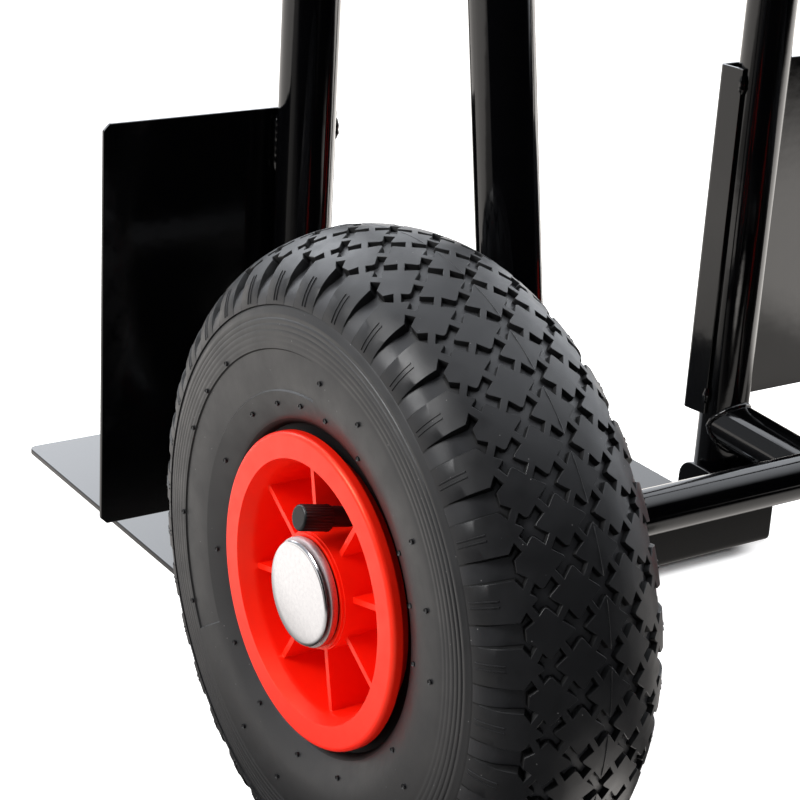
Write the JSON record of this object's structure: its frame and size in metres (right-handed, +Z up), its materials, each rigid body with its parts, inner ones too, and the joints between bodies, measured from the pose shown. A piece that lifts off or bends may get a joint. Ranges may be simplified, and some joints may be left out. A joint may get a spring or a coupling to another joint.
{
  "type": "hand truck",
  "caption": "Hand truck with a welded black tube frame, air-filled wheels on red plastic rims, sheet wheel guards, gripped handles and a toe plate that folds up.",
  "frame": {"origin": "on the floor, in the middle of the truck's outline seen from above", "axes": "+Z up along the uprights, -Y towards the toe plate, +X to the left hand of the person who stands behind the handles"},
  "size_m": [0.495, 0.573, 1.1435],
  "materials": {
    "frame_paint": "gloss black powder coat on steel",
    "grip_vinyl": "black vinyl, satin",
    "plug_plastic": "black polyethylene, satin",
    "cap_chrome": "bright chrome plate",
    "zinc_steel": "bright zinc plate",
    "bearing_steel": "ground bearing steel",
    "seal_rubber": "dark grey rubber, matte",
    "tyre_rubber": "moulded black rubber, satin",
    "rim_red": "red moulded polypropylene, satin gloss",
    "valve_rubber": "black rubber, satin"
  },
  "bodies": {
    "frame": {"axle": "frame_paint", "lower_cross_bar": "frame_paint", "middle_cross_bar": "frame_paint", "upper_cross_bar": "frame_paint", "stay_plugs": "plug_plastic", "left_upright": "frame_paint", "left_rear_stay": "frame_paint", "left_handle_grip": "grip_vinyl", "left_wheel_guard": "frame_paint", "left_hinge_sleeve": "frame_paint", "left_bearing_inner_rings": "bearing_steel", "left_axle_shim": "zinc_steel", "left_cap_retainer": "zinc_steel", "left_axle_cap": "cap_chrome", "left_axle_spacer": "frame_paint", "right_upright": "frame_paint", "right_rear_stay": "frame_paint", "right_handle_grip": "grip_vinyl", "right_wheel_guard": "frame_paint", "right_hinge_sleeve": "frame_paint", "right_bearing_inner_rings": "bearing_steel", "right_axle_shim": "zinc_steel", "right_cap_retainer": "zinc_steel", "right_axle_cap": "cap_chrome", "right_axle_spacer": "frame_paint"},
    "toe": {"toe_plate": "frame_paint", "hinge_bolts": "zinc_steel", "hinge_nuts": "zinc_steel", "hinge_washers": "zinc_steel", "left_hinge_cheeks": "frame_paint", "right_hinge_cheeks": "frame_paint"},
    "left_wheel": {"left_tyre": "tyre_rubber", "left_inner_tube": "seal_rubber", "left_outer_rim": "rim_red", "left_inner_rim": "rim_red", "left_rim_screws": "zinc_steel", "left_bearing_outer_rings": "bearing_steel", "left_bearing_balls": "bearing_steel", "left_bearing_seals": "seal_rubber", "left_valve_stem": "valve_rubber", "left_valve_cap": "plug_plastic"},
    "right_wheel": {"right_tyre": "tyre_rubber", "right_inner_tube": "seal_rubber", "right_outer_rim": "rim_red", "right_inner_rim": "rim_red", "right_rim_screws": "zinc_steel", "right_bearing_outer_rings": "bearing_steel", "right_bearing_balls": "bearing_steel", "right_bearing_seals": "seal_rubber", "right_valve_stem": "valve_rubber", "right_valve_cap": "plug_plastic"}
  },
  "joints": [
    {"name": "left_wheel_spin", "type": "hinge", "parent": "frame", "child": "left_wheel", "pos_m": [0.2025, 0.1565, 0.13], "axis": [1, 0, 0], "continuous": true},
    {"name": "right_wheel_spin", "type": "hinge", "parent": "frame", "child": "right_wheel", "pos_m": [-0.2025, 0.1565, 0.13], "axis": [1, 0, 0], "continuous": true},
    {"name": "toe_plate_fold", "type": "hinge", "parent": "frame", "child": "toe", "pos_m": [0, -0.0325, 0.019], "axis": [-1, 0, 0], "range_deg": [0, 90]}
  ]
}
